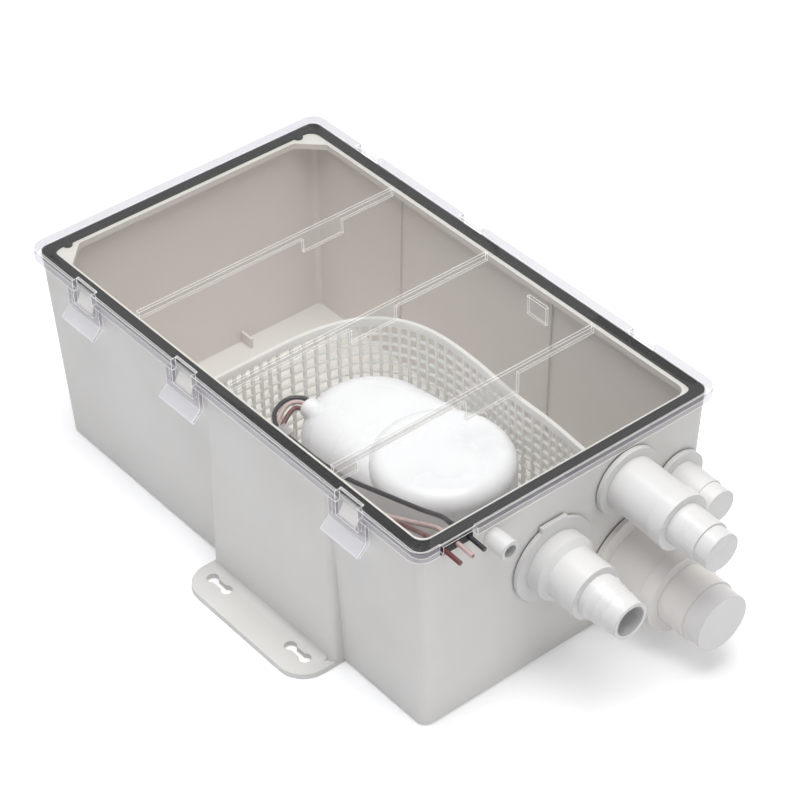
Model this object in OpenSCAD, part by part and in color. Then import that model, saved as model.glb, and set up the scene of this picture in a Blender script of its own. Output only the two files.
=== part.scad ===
// Shower sump: a drafted tub with a clear clip-on lid, a curved mesh screen,
// a submersible pump with its own strainer base, four capped or open hose fittings
// and a check valve in the outlet.
// The origin is the centre of the tub's base, +X points to the fittings, +Z is up.

/* [Tub] */
// Length of the tub at its base
base_l = 300.8; // [280:0.1:380]
// Width of the tub at its base
base_w = 173.3; // [160:0.1:220]
// Height of the tub up to its rim
tub_h = 118; // [112:1:150]
// Thickness of the tub's walls
wall_t = 2.5; // [2:0.1:3]
// Thickness of the tub's floor
floor_t = 2.5; // [2:0.1:3]
// Outward lean of the walls in degrees
wall_draft = 2.4; // [1.5:0.1:3]
// Radius of the tub's upright corners
corner_r = 6; // [4:0.5:10]
// Width of the ledge that the gasket lies on
ledge_w = 7.8; // [6:0.1:9]

/* [Foot brackets] */
// Length of each foot plate along the tub
foot_l = 99; // [80:1:120]
// Reach of each foot plate beyond the pad on the wall
foot_reach = 21; // [18:0.5:28]
// Distance between the two keyhole slots of a foot
slot_pitch = 64.9; // [50:0.1:80]
// Length of a keyhole slot
slot_l = 18; // [15:0.5:20]
// Width of a keyhole slot at its round lobes
slot_w = 6.4; // [5:0.1:8]
// Width of a keyhole slot at its neck
slot_neck_w = 3.6; // [3:0.1:4.5]

/* [Lid] */
// Thickness of the clear pane
pane_t = 2.5; // [2:0.1:3]
// Overhang of the lid beyond the tub's rim
lid_overhang = 3.4; // [3:0.1:5]
// Height of the lid's skirt below the pane
skirt_h = 4.2; // [3:0.1:5]
// Thickness of the gasket
gasket_t = 1.8; // [1.2:0.1:2.5]

/* [Latches] */
// Overall width of a latch tongue
latch_w = 27.6; // [24:0.1:30]
// Width of the window in a latch tongue
window_w = 16.7; // [15:0.1:20]
// Thickness of a latch tongue
latch_t = 2.2; // [1.6:0.1:2.6]
// Length of the flared lip under a latch
lip_l = 8.6; // [6:0.1:10]

/* [Screen] */
// Number of mesh rows
screen_rows = 15; // [4:1:16]
// Number of mesh columns in each stretch of the screen
screen_columns = [7, 14, 9, 8]; // [1:1:18]
// Width of the upright bars between the mesh holes
bar_w = 1.9; // [1.2:0.1:2.5]
// Height of the level bars between the mesh holes
bar_h = 1.1; // [0.8:0.1:2]
// Thickness of the mesh sheet
screen_t = 1.6; // [1.2:0.1:2]

/* [Pump] */
// Radius of the pump's casing
pump_r = 37; // [35:0.5:38]
// Height of the motor cap above the base plane
pump_h = 85; // [80:1:90]
// Distance from the motor's axis to the axis of the float dome
dome_offset = 55; // [50:1:58]
// Distance from the motor's axis to the end of the tub's base
motor_to_end = 77.4; // [76:0.1:80]
// Outer radius of the impeller
impeller_r = 20; // [18:0.5:22]
// Number of impeller vanes
vanes = 6; // [4:1:8]
// Travel of the float
float_travel = 12; // [8:1:13]

/* [Discharge] */
// Place of the discharge axis across the tub
discharge_y = -8.85; // [-12:0.05:-6]
// Height of the discharge axis at the wall
discharge_z = 68.2; // [66:0.1:72]
// Radius of the discharge flange
discharge_flange_r = 24.4; // [22:0.1:26]
// Radius of the discharge bore
discharge_bore_r = 8.3; // [7:0.1:8.6]
// Radius of the hose barb's largest ridge
barb_r = 12.4; // [11:0.1:13]

/* [Inlets] */
// Radius of the upper inlet's end
inlet_a_tip_r = 10.4; // [9:0.1:11]
// Radius of the far inlet's end
inlet_b_tip_r = 9.3; // [8:0.1:9.6]
// Radius of the large lower inlet's end
inlet_c_tip_r = 16; // [14:0.1:17]

/* [Vent nipple] */
// Outer radius of the vent nipple
nipple_r = 5.5; // [5:0.1:6.5]
// Bore radius of the vent nipple
nipple_bore_r = 3.5; // [3:0.1:4]

/* [Leads] */
// Diameter of each electric lead
lead_d = 2.5; // [2:0.1:2.8]

/* [Hidden] */

// Smoothness of round forms
round_steps = 64;
fine_steps = 32;
corner_steps = 6;
$fn = round_steps;

// Shared clearances and overruns
overrun = 1;
sunk = 0.6;
fit = 0.05;
loose = 0.3;

// Tub details
base_chamfer = 1.5;
ledge_t = 3.5;
rear_corner_leg = 13;
rib_t = 1.5;
far_rib_shares = [-0.505, 0.299];
far_rib_depth = 1.2;
far_rib_low = 25;
fin = [9, rib_t, 6.5];
fin_y = 28;
half_l = base_l/2;
half_w = base_w/2;
lean = tan(wall_draft);
function wall_x(z) = half_l + z*lean;
function wall_y(z) = half_w + z*lean;
function inner_x(z) = wall_x(z) - wall_t;
function inner_y(z) = wall_y(z) - wall_t;
opening_x = wall_x(tub_h) - ledge_w;
opening_y = wall_y(tub_h) - ledge_w;
ledge_z = tub_h - ledge_t;

// Foot bracket details
foot_x = -10;
foot_t = 3;
foot_corner_r = 15;
pad_flare = 3;
pad_corner_r = 4;
pad_drop = 6;
pad_top = tub_h - pad_drop;
foot_fillet_r = 3;
foot_pad_out = 7.65;
pad_y = wall_y(0) + foot_pad_out;
foot_edge_y = pad_y + foot_reach;
slot_out = 7.7;
slot_y = pad_y + slot_out;
slot_shift = 0.85;
slot_inset = (foot_l - slot_pitch)/2 - slot_shift;
lobe_spread = slot_l - slot_w;

// Lid and gasket details
gasket_z = tub_h;
pane_z = tub_h + gasket_t;
lid_x = wall_x(tub_h) + lid_overhang;
lid_y = wall_y(tub_h) + lid_overhang;
lid_corner_r = 8;
skirt_t = 2.85;
skirt_z = pane_z - skirt_h;
gasket_end_inset = 0.3;
gasket_side_inset = 0.4;
gasket_x = wall_x(tub_h) - gasket_end_inset;
gasket_y = wall_y(tub_h) - gasket_side_inset;
gasket_w = 5;
gasket_corner_r = 5;
ear_r = 2.6;
ear_in = 15;
lid_rib_shares = [-0.512, 0, 0.5385];
lid_rib_h = 4.5;
lid_rib_t = 1.8;
lid_rib_inset = 0.8;
tab_start_shares = [0.254, -0.0865, -0.0115];
tab_end_shares = [0.56, 0.2537, 0.3843];
tab_drops = [12.8, 12.8, 16.4];
small_tab_t = 1.6;
small_tab_drop = 11;
side_tab_l = 14.3;
side_tab_x = 41.5;
side_tab_in = 9.6;
near_tab_share = 0.532;
near_tab_y = 82.6;
ridge_w = 1;
ridge_h = 0.6;
ridge_in = 3.5;

// Latch and catch details
latch_shares = [-0.728, -0.1556, 0.7074];
latch_h = 12.6;
crossbar_h = 4.6;
latch_gap = 0.05;
knuckle_r = latch_t/2;
latch_y = lid_y - knuckle_r;
pivot_z = skirt_z - latch_gap - knuckle_r;
latch_foot_z = skirt_z - latch_h;
crossbar_z = latch_foot_z + crossbar_h;
lip_angle = 45;
catch_w = 13.3;
catch_gap = 0.4;
catch_z = crossbar_z + catch_gap;
catch_bite = 1.8;
catch_tip_y = latch_y - knuckle_r + catch_bite;
catch_lip_h = 1.6;
catch_top = skirt_z - catch_gap;

// Screen details
screen_gap = 15.5;
screen_top = tub_h - screen_gap;
screen_x = -26.5;
foot_band = 4.5;
top_band = 8.1;
screen_row_pitch = (screen_top - floor_t - foot_band - top_band + bar_h)/screen_rows;
rim_t = 2.2;
rim_h = 3;
screen_end_gap = 0.4;
screen_near_y = -inner_y(0) + screen_end_gap;
screen_end_x = inner_x(0) - screen_end_gap;
straight_end_share = -0.3924;
crest_shares = [0.2094, 0.4005];
dip_shares = [0.6316, 0.3624];
end_share = 0.3289;
bend_share = 0.7;
handle_shares = [0.2, 0.2, 0.166, 0.133];
groove_t = screen_t + 2*loose;
guide_in = 5;
end_guide_top_drop = 38;

// Pump details
pump_y = discharge_y;
motor_x = half_l - motor_to_end;
dome_x = motor_x - dome_offset;
strainer_h = 21.5;
strainer_wall = 2;
strainer_floor = 2;
strainer_top = floor_t + strainer_h;
strainer_slot_w = 3;
strainer_slot_h = 14;
end_slots = 7;
end_slot_step = 22;
side_slots = 7;
side_slot_step = dome_offset/side_slots;
strainer_sill = 2.5;
strainer_slot_z = floor_t + strainer_floor + strainer_sill;
plate_t = 3;
plate_top = strainer_top + plate_t;
dome_h = 77;
dome_crown = 2;
dome_round_r = 20;
cap_z = 62;
cap_out = 0.5;
cap_r = pump_r + cap_out;
cap_round_r = 9;
cap_crown = 1;
cap_wall = 2;
neck_h = 6;
motor_bay_r = 31;
motor_can_r = motor_bay_r - loose;
motor_can_h = 41;
can_round_r = 4;
shaft_r = 2;
shaft_in_motor = 32;
shaft_top = plate_top + shaft_in_motor;
volute_out = 6;
volute_r = impeller_r + volute_out;
volute_wall = 2.5;
volute_lift = 3.5;
volute_z = floor_t + strainer_floor + volute_lift;
volute_floor = 2;
eye_r = 9;
impeller_lift = 0.8;
impeller_z = volute_z + volute_floor + impeller_lift;
impeller_h = 11;
shroud_t = 2;
hub_r = 5;
vane_t = 1.4;
vane_sweep = 60;
vane_steps = 8;
seal_r = 6.5;
seal_bore_gap = 0.08;
bay_wall = 2;
float_bay_r = dome_offset - motor_bay_r - bay_wall;
float_gap = 2;
float_r = float_bay_r - float_gap;
float_h = 20;
float_headroom = 6.7;
float_bay_top = plate_top + loose + float_h + float_travel + float_headroom;
float_pin_r = 2.5;
float_hole_r = 4;
float_hole_ring_r = 13;
duct_r = 7.2;
duct_bore_r = 5.2;
duct_lift = 8.5;
duct_z = volute_z + duct_lift;
riser_r = 9;
riser_bore_r = 6.5;
riser_offset = 51;
riser_x = motor_x + riser_offset;
gland_back = 28.6;
gland_x = dome_x - gland_back;
gland_side = 19.65;
gland_y = pump_y - gland_side;
gland_z = 70;
gland_r = 5.5;
gland_l = 14;
riser_wall = 2;

// Rubber elbow between the pump and the wall fitting
hose_wall = 3.2;
hose_r = riser_r + hose_wall;
hose_bore_r = riser_r + fit;
hose_bend_bore_r = 8;
cuff_t = 0.8;
cuff_r = hose_r + cuff_t;
bend_overrun = 3;
bend_inside_r = 1;
bend_r = hose_r + bend_inside_r;
bend_end_x = riser_x + bend_r*(1 + sin(wall_draft));
bend_end_z = discharge_z + (wall_x(discharge_z) - bend_end_x)*lean;
bend_z = bend_end_z - bend_r*cos(wall_draft);
bend_end_l = (bend_end_x - wall_x(discharge_z))/cos(wall_draft);
hose_drop = 13.6;
hose_tail = 7;
riser_gap = 0.7;
riser_top = bend_z - riser_gap;
clamp_t = 0.9;
clamp_w = 6;
clamp_box = [8, 5, 5.6];
clamp_screw_r = 1.7;
clamp_screw_l = 10;
clamp_lift = 3;

// Discharge fitting, lengths measured outward from the wall
seal_t = 0.8;
flange_t = 3.2;
collar_r = 18;
collar_end = 11;
valve_body_r = 14.9;
valve_body_start = 14;
valve_body_end = 32;
tab_w = 16;
tab_shift = -1.4;
tab_top = 25.7;
shank_r = 13;
nut_t = 5.2;
nut_r = 18;
nut_lugs = 6;
nut_lug_w = 7;
nut_lug_out = 2;
barb_depth = 0.7;
barb_step = 0.65;
barb_start = 36;
barb_pitch = 5.4;
barb_count = 3;
barb_tip_r = barb_r - (barb_count - 1)*barb_step - barb_depth;
discharge_l = 56;
barb_lead = 0.4;
shank_in = wall_t + nut_t + loose;
spigot_gap = 0.2;
spigot_in = -bend_end_l - spigot_gap;
valve_chamber_r = 12.6;
valve_seat_l = 14;
bore_step = 0.4;
seat_bore_r = discharge_bore_r - bore_step;
flap_r = 9.8;
flap_t = 1.6;
flap_gap = 0.1;
flap_pin_r = 1.2;
flap_pin_h = 11;
flap_pin_half = 8.4;
flap_ear_w = 8;

// Inlets, lengths measured outward from the wall
inlet_a_y = 37.9;
inlet_a_drop = 26;
inlet_b_y = 73.35;
inlet_b_z = 74.5;
inlet_c_y = 48.2;
inlet_c_z = 35.5;
inlet_end_wall = 2;
inlet_a_shank_r = 9;
inlet_b_shank_r = 8;
inlet_c_shank_r = 15.5;
inlet_a_radii = [19.5, 15, 15.6, 11.4, inlet_a_tip_r];
inlet_a_ends = [3.5, 31.5, 40, 58, 66.2];
inlet_b_radii = [14.9, 9.8, inlet_b_tip_r];
inlet_b_ends = [3.5, 22, 30.7];
inlet_c_radii = [31.2, 22, 23, 17.1, inlet_c_tip_r];
inlet_c_ends = [3.5, 27, 35, 52, 62.7];
inlet_wall = 1.8;
nipple_y = -47.5;
nipple_drop = 13;
nipple_l = 13;
nipple_step_l = 1;
nipple_shank_r = 4.8;

// Leads, the routes are chosen points in space
lead_r = lead_d/2;
lead_sides = 8;
lead_steps = 2;
grommet_y = -69.7;
grommet_w = 19;
grommet_h = 5;
grommet_drop = 3.5;
grommet_z = tub_h - grommet_drop;
grommet_out = 0.9;
grommet_bore_gap = 0.15;
grommet_bore_r = lead_r + grommet_bore_gap;
notch_w = 20.4;
route_black = [
  [-11, -25, 70], [-17, -27, 71], [-21, -34, 71], [-18, -44, 70], [-8, -50, 69], [4, -50, 69],
  [30, -52, 72], [57, -55, 80], [86, -56, 90], [114, -57, 100], [133, -60, 110],
  [142, -62.5, 114], [146, -62.5, 114.5], [157, -62.5, 114.5], [167, -62.5, 114]
];
route_white = [
  [-11, -28.5, 70], [-15, -30, 71], [-17.5, -35.5, 71], [-15, -44, 68], [-8, -50, 65.5], [4, -50, 65.5],
  [35, -57, 68], [75, -63, 79], [105, -64, 92], [131, -67, 107],
  [142, -69.5, 114], [146, -69.5, 114.5], [157, -69.5, 114.5], [167, -69.5, 114]
];
route_brown = [
  [-11, -32, 70], [-13.5, -33.5, 70], [-14, -37, 69], [-12, -44, 65], [-8, -50, 62], [4, -50, 62],
  [35, -62, 63], [75, -68, 79], [110, -69, 96], [131, -73, 107],
  [142, -77, 114], [146, -77, 114.5], [157, -77, 114.5], [167, -77, 114]
];
strap_x = -6;
strap_l = 8;
strap_y = -50;
strap_z = 65.5;
strap_h = 13;
strap_w = 6;
strap_t = 1;

// Colours
shell_white = "whitesmoke";
clear = [0.85, 0.88, 0.9, 0.35];

// Points along a quarter turn of a rounded corner
function corner(x, y, r, start) =
  [for (i = [0:corner_steps]) [x + r*cos(start + 90*i/corner_steps), y + r*sin(start + 90*i/corner_steps)]];

// Rounded rectangle seen from above, anticlockwise
function rounded_box(hx, hy, r) = concat(
  corner(hx - r, hy - r, r, 0), corner(r - hx, hy - r, r, 90),
  corner(r - hx, r - hy, r, 180), corner(hx - r, r - hy, r, 270));

// The same outline lifted to a height, for lofts
function lifted(outline, z) = [for (p = outline) [p[0], p[1], z]];

// Solid through a stack of outlines with the same number of points
module loft(rings) {
  n = len(rings[0]);
  m = len(rings);
  sides = [for (k = [0:m - 2]) for (i = [0:n - 1])
    let (j = (i + 1)%n, a = k*n + i, b = k*n + j, c = b + n, d = a + n) each [[a, d, c], [a, c, b]]];
  polyhedron(
    [for (ring = rings) each ring],
    concat([[for (i = [0:n - 1]) i]], [[for (i = [n - 1:-1:0]) (m - 1)*n + i]], sides));
}

// Cubic Bezier curve
function bezier(a, b, c, d, t) = pow(1 - t, 3)*a + 3*t*pow(1 - t, 2)*b + 3*t*t*(1 - t)*c + pow(t, 3)*d;
function unit(v) = v/norm(v);

// Frame on the outside of the leaning end wall: +Z points out of the wall, +X down it
module on_end_wall(y, z) {
  translate([wall_x(z), y, z]) rotate([0, 90 + wall_draft, 0]) children();
}

// Round bar or ring between two distances from the wall
module from_wall(start, end, r) {
  translate([0, 0, start]) cylinder(h = end - start, r = r);
}

module ring(outer_r, inner_r, h) {
  difference() {
    cylinder(h = h, r = outer_r);
    translate([0, 0, -overrun]) cylinder(h = h + 2*overrun, r = inner_r);
  }
}

// Two round ends joined by straight sides, as the pump is seen from above
module pump_outline(r) {
  translate([dome_x, pump_y]) circle(r = r);
  translate([motor_x, pump_y]) circle(r = r);
  translate([dome_x, pump_y - r]) square([dome_offset, 2*r]);
}

// Tub outline at a height, moved in by a margin
function tub_ring(z, margin, r) = lifted(rounded_box(wall_x(z) - margin, wall_y(z) - margin, r), z);

// Inside edge of the rim, with cut-off corners at the rear
function opening_outline() = concat(
  corner(opening_x - corner_r, opening_y - corner_r, corner_r, 0),
  [[rear_corner_leg - opening_x, opening_y], [-opening_x, opening_y - rear_corner_leg]],
  [[-opening_x, rear_corner_leg - opening_y], [rear_corner_leg - opening_x, -opening_y]],
  corner(opening_x - corner_r, corner_r - opening_y, corner_r, 270));

module tub_cavity() {
  loft([tub_ring(floor_t, wall_t, corner_r - wall_t), tub_ring(ledge_z, wall_t, corner_r - wall_t)]);
  translate([0, 0, ledge_z - sunk]) linear_extrude(ledge_t + sunk + overrun) polygon(opening_outline());
}

// Pad on the outside of a long wall that carries the foot plate
module wall_pad() {
  bottom = [for (p = rounded_box(foot_l/2, foot_pad_out, pad_corner_r)) [p[0], p[1] - wall_y(0), 0]];
  top = [for (p = rounded_box(foot_l/2, foot_pad_out - pad_flare, pad_corner_r))
    [p[0], p[1] - wall_y(pad_top) + foot_pad_out - pad_flare, pad_top]];
  translate([foot_x + foot_l/2, 0, 0]) loft([bottom, top]);
}

// Keyhole slot with two round lobes and a narrow neck
module keyhole() {
  for (side = [-1, 1])
    translate([side*lobe_spread/2, 0, -overrun]) cylinder(h = foot_t + 2*overrun, r = slot_w/2);
  translate([-lobe_spread/2, -slot_neck_w/2, -overrun]) cube([lobe_spread, slot_neck_w, foot_t + 2*overrun]);
}

module foot_plate() {
  difference() {
    linear_extrude(foot_t) polygon(concat(
      [[foot_x, -half_w], [foot_x, foot_corner_r - foot_edge_y]],
      corner(foot_x + foot_corner_r, foot_corner_r - foot_edge_y, foot_corner_r, 180),
      corner(foot_x + foot_l - foot_corner_r, foot_corner_r - foot_edge_y, foot_corner_r, 270),
      [[foot_x + foot_l, -half_w]]));
    for (x = [slot_inset, slot_inset + slot_pitch])
      translate([foot_x + x, -slot_y, 0]) keyhole();
  }
  // Fillet between the plate and the pad
  difference() {
    translate([foot_x + pad_corner_r, -pad_y - foot_fillet_r, foot_t - sunk])
      cube([foot_l - 2*pad_corner_r, foot_fillet_r + sunk, foot_fillet_r + sunk]);
    translate([foot_x, -pad_y - foot_fillet_r, foot_t + foot_fillet_r])
      rotate([0, 90, 0]) cylinder(h = foot_l, r = foot_fillet_r);
  }
}

// Wedge that a latch's crossbar snaps under
module catch(x) {
  outline = [
    [sunk - wall_y(catch_z), catch_z], [-catch_tip_y, catch_z], [-catch_tip_y, catch_z + catch_lip_h],
    [-wall_y(catch_top), catch_top], [sunk - wall_y(catch_top), catch_top]];
  translate([x - catch_w/2, 0, 0]) rotate([90, 0, 90]) linear_extrude(catch_w) polygon(outline);
}

// Upright rib with a plumb inner edge on a leaning wall, drawn on the near wall at x = 0
module wall_rib(t, from, to, depth) {
  outline = [
    [-inner_y(from) - sunk, from], [depth - inner_y(0), from],
    [depth - inner_y(0), to], [-inner_y(to) - sunk, to]];
  translate([-t/2, 0, 0]) rotate([90, 0, 90]) linear_extrude(t) polygon(outline);
}

module tub() color("gainsboro") {
  difference() {
    union() {
      loft([
        tub_ring(0, base_chamfer, corner_r), tub_ring(base_chamfer, 0, corner_r), tub_ring(tub_h, 0, corner_r)]);
      for (far = [0, 1]) mirror([0, far, 0]) {
        wall_pad();
        foot_plate();
        for (share = latch_shares) catch(share*half_l);
      }
    }
    tub_cavity();
    on_end_wall(discharge_y, discharge_z) from_wall(-wall_t - overrun, overrun, shank_r + fit);
    on_end_wall(inlet_a_y, tub_h - inlet_a_drop) from_wall(-wall_t - overrun, overrun, inlet_a_shank_r + fit);
    on_end_wall(inlet_b_y, inlet_b_z) from_wall(-wall_t - overrun, overrun, inlet_b_shank_r + fit);
    on_end_wall(inlet_c_y, inlet_c_z) from_wall(-wall_t - overrun, overrun, inlet_c_shank_r + fit);
    on_end_wall(nipple_y, tub_h - nipple_drop) from_wall(-wall_t - overrun, overrun, nipple_shank_r + fit);
    translate([opening_x - overrun, grommet_y - grommet_w/2, grommet_z - grommet_h/2])
      cube([2*ledge_w, grommet_w, grommet_h]);
  }
  // Grooves that the two ends of the screen slide into
  for (side = [-1, 1]) {
    translate([screen_x + side*(groove_t + rib_t)/2, 0, 0]) wall_rib(rib_t, floor_t - sunk, screen_top, guide_in);
    translate([half_l - half_w, end_guide_y + side*(groove_t + rib_t)/2, 0]) rotate([0, 0, 90])
      wall_rib(rib_t, floor_t - sunk, tub_h - end_guide_top_drop, guide_in);
  }
  // Slim ribs inside the far wall
  for (share = far_rib_shares)
    translate([share*half_l, 0, 0]) mirror([0, 1, 0]) {
      outline = [
        [-inner_y(far_rib_low) - sunk, far_rib_low], [far_rib_depth - inner_y(far_rib_low), far_rib_low],
        [far_rib_depth - inner_y(ledge_z), ledge_z], [-inner_y(ledge_z) - sunk, ledge_z]];
      translate([-rib_t/2, 0, 0]) rotate([90, 0, 90]) linear_extrude(rib_t) polygon(outline);
    }
  // Small fin on the floor at the rear wall
  translate([-inner_x(floor_t) - sunk, fin_y, floor_t - sunk]) cube(fin + [sunk, 0, sunk]);
}

// The end groove's place follows the screen's end
end_guide_y = end_share*half_w;

// Two-dimensional frame between two outlines
module frame_plate(hx, hy, r, w, inner_r, h) {
  linear_extrude(h) difference() {
    polygon(rounded_box(hx, hy, r));
    polygon(rounded_box(hx - w, hy - w, inner_r));
  }
}

module gasket() color("black") {
  translate([0, 0, gasket_z]) {
    frame_plate(gasket_x, gasket_y, gasket_corner_r, gasket_w, corner_r, gasket_t);
    for (side = [-1, 1])
      translate([gasket_w - gasket_x, side*(gasket_y - ear_in), 0]) cylinder(h = gasket_t, r = ear_r);
  }
}

// Ribs across the underside of the pane, each with a deeper tab over the screen
module lid_rib(x, tab_start, tab_end, drop) {
  rib_y = opening_y - lid_rib_inset;
  translate([x - lid_rib_t/2, -rib_y, pane_z - lid_rib_h]) cube([lid_rib_t, 2*rib_y, lid_rib_h + sunk]);
  translate([x - lid_rib_t/2, tab_start, pane_z - drop]) cube([lid_rib_t, tab_end - tab_start, drop]);
}

module lid() color(clear) {
  difference() {
    union() {
      translate([0, 0, pane_z]) linear_extrude(pane_t) polygon(rounded_box(lid_x, lid_y, lid_corner_r));
      translate([0, 0, skirt_z]) frame_plate(lid_x, lid_y, lid_corner_r, skirt_t, corner_r, skirt_h + sunk);
    }
    // Openings over the catches, cut in to the gasket's outer edge
    for (share = latch_shares) for (side = [-1, 1])
      translate([share*half_l - window_w/2, side*(lid_y - skirt_t/2 + overrun) - skirt_t/2 - overrun, skirt_z - overrun])
        cube([window_w, skirt_t + 2*overrun, skirt_h + pane_t + 2*overrun]);
    // Notch in the skirt that the leads pass through
    translate([lid_x - skirt_t - overrun, grommet_y - notch_w/2, skirt_z - overrun])
      cube([skirt_t + 2*overrun, notch_w, skirt_h + overrun]);
  }
  for (i = [0:len(lid_rib_shares) - 1])
    lid_rib(lid_rib_shares[i]*half_l, tab_start_shares[i]*half_w, tab_end_shares[i]*half_w, tab_drops[i]);
  // Short tabs under the pane beside the two long walls
  translate([side_tab_x, opening_y - side_tab_in, pane_z - small_tab_drop])
    cube([side_tab_l, small_tab_t, small_tab_drop + sunk]);
  translate([near_tab_share*half_l, -near_tab_y, pane_z - small_tab_drop])
    cube([small_tab_t, side_tab_l, small_tab_drop + sunk]);
  // Raised ridges on the pane beside the latch openings
  for (share = latch_shares) for (side = [-1, 1])
    translate([share*half_l - window_w/2, side*(lid_y - ridge_in) - ridge_w/2, pane_z + pane_t - sunk])
      cube([window_w, ridge_w, ridge_h + sunk]);
}

// Latch tongue on the near side: two legs, a crossbar and a flared lip under a round hinge line
module latch(x) {
  leg_w = (latch_w - window_w)/2;
  in_y = latch_y - knuckle_r;
  out_y = latch_y + knuckle_r;
  down = [sin(lip_angle), -cos(lip_angle)];
  across = [cos(lip_angle), sin(lip_angle)];
  heel = [in_y, latch_foot_z];
  crook = heel + latch_t*across;
  bend = [out_y, crook[1] - (out_y - crook[0])/tan(lip_angle)];
  outline = [
    heel, heel + lip_l*down, crook + lip_l*down, bend, [out_y, crossbar_z], [in_y, crossbar_z]];
  translate([x, 0, 0]) {
    translate([-latch_w/2, 0, 0]) rotate([90, 0, 90]) linear_extrude(latch_w)
      polygon([for (p = outline) [-p[0], p[1]]]);
    for (side = [-1, 1]) {
      leg_x = side*(latch_w - leg_w)/2 - leg_w/2;
      translate([leg_x, -out_y, crossbar_z - sunk]) cube([leg_w, latch_t, pivot_z - crossbar_z + sunk]);
      translate([leg_x, -latch_y, pivot_z]) rotate([0, 90, 0]) cylinder(h = leg_w, r = knuckle_r);
    }
  }
}

module near_latch(i) color(clear) latch(latch_shares[i]*half_l);
module far_latch(i) color(clear) mirror([0, 1, 0]) latch(latch_shares[i]*half_l);

// Route of the screen seen from above
screen_knots = [
  [screen_x, screen_near_y], [screen_x, straight_end_share*half_w],
  [crest_shares[0]*half_l, crest_shares[1]*half_w], [dip_shares[0]*half_l, dip_shares[1]*half_w],
  [screen_end_x, end_guide_y]];
screen_rise = screen_knots[2][1] - screen_knots[1][1];
screen_run = screen_knots[2][0] - screen_knots[1][0];
screen_path = concat(
  [for (i = [0:screen_columns[0] - 1])
    screen_knots[0] + (screen_knots[1] - screen_knots[0])*i/screen_columns[0]],
  [for (i = [0:screen_columns[1] - 1])
    bezier(screen_knots[1], screen_knots[1] + [0, bend_share*screen_rise],
      screen_knots[2] - [bend_share*screen_run, 0], screen_knots[2], i/screen_columns[1])],
  [for (i = [0:screen_columns[2] - 1])
    bezier(screen_knots[2], screen_knots[2] + [handle_shares[0]*half_l, 0],
      screen_knots[3] - [handle_shares[1]*half_l, 0], screen_knots[3], i/screen_columns[2])],
  [for (i = [0:screen_columns[3]])
    bezier(screen_knots[3], screen_knots[3] + [handle_shares[2]*half_l, 0],
      screen_knots[4] - [handle_shares[3]*half_l, 0], screen_knots[4], i/screen_columns[3])]);
function path_dir(path, i) =
  i == 0 ? unit(path[1] - path[0]) :
  i == len(path) - 1 ? unit(path[i] - path[i - 1]) :
  unit(unit(path[i] - path[i - 1]) + unit(path[i + 1] - path[i]));
function beside(path, i, d) = path[i] + d*[-path_dir(path, i)[1], path_dir(path, i)[0]];

// Wall of even thickness along the screen's route
module screen_wall(t, from, to) {
  last = len(screen_path) - 1;
  translate([0, 0, from]) linear_extrude(to - from) polygon(concat(
    [for (i = [0:last]) beside(screen_path, i, t/2)],
    [for (i = [last:-1:0]) beside(screen_path, i, -t/2)]));
}

module screen() color("white") {
  difference() {
    union() {
      screen_wall(screen_t, floor_t, screen_top - sunk);
      screen_wall(rim_t, screen_top - rim_h, screen_top);
    }
    for (i = [0:len(screen_path) - 2]) {
      middle = (screen_path[i] + screen_path[i + 1])/2;
      run = screen_path[i + 1] - screen_path[i];
      hole_w = norm(run) - bar_w;
      for (row = [0:screen_rows - 1])
        translate([middle[0], middle[1], floor_t + foot_band + row*screen_row_pitch])
          rotate([0, 0, atan2(run[1], run[0])]) translate([-hole_w/2, -screen_t, 0])
            cube([hole_w, 2*screen_t, screen_row_pitch - bar_h]);
    }
  }
}

// Slotted base that the pump body stands on
module strainer_base() color("white") {
  difference() {
    translate([0, 0, floor_t]) linear_extrude(strainer_h) pump_outline(pump_r);
    translate([0, 0, floor_t + strainer_floor]) linear_extrude(strainer_h) pump_outline(pump_r - strainer_wall);
    // Slots round the rear end
    for (i = [-(end_slots - 1)/2:(end_slots - 1)/2])
      translate([dome_x, pump_y, strainer_slot_z]) rotate([0, 0, 180 + i*end_slot_step])
        translate([pump_r - strainer_wall - overrun, -strainer_slot_w/2, 0])
          cube([strainer_wall + 2*overrun, strainer_slot_w, strainer_slot_h]);
    // Slots round the front end, beside the outlet duct
    for (i = [-(end_slots - 1)/2:(end_slots - 1)/2]) if (i != 0)
      translate([motor_x, pump_y, strainer_slot_z]) rotate([0, 0, i*end_slot_step])
        translate([pump_r - strainer_wall - overrun, -strainer_slot_w/2, 0])
          cube([strainer_wall + 2*overrun, strainer_slot_w, strainer_slot_h]);
    // Slots along the straight sides
    for (i = [0:side_slots - 1]) for (side = [-1, 1])
      translate([dome_x + (i + 0.5)*side_slot_step - strainer_slot_w/2,
          pump_y + side*pump_r - 2*strainer_wall, strainer_slot_z])
        cube([strainer_slot_w, 4*strainer_wall, strainer_slot_h]);
    // Gap that the outlet duct drops into
    translate([motor_x, pump_y - duct_r - loose, duct_z - duct_r - loose])
      cube([2*pump_r, 2*(duct_r + loose), strainer_h]);
  }
}

// Half outline of a drum with a rounded, slightly crowned top
function drum_outline(r, top, crown, round_r, low) = concat(
  [[0, low], [r, low]],
  [for (i = [0:fine_steps/4]) [
    r - round_r + round_r*cos(360*i/fine_steps), top - crown - round_r + round_r*sin(360*i/fine_steps)]],
  [[0, top]]);

module pump_casing() {
  hull() {
    translate([dome_x, pump_y, 0])
      rotate_extrude($fn = fine_steps) polygon(drum_outline(pump_r, dome_h, dome_crown, dome_round_r, strainer_top));
    translate([motor_x, pump_y, strainer_top]) cylinder(h = cap_z - strainer_top, r = pump_r, $fn = round_steps);
  }
}

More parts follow.
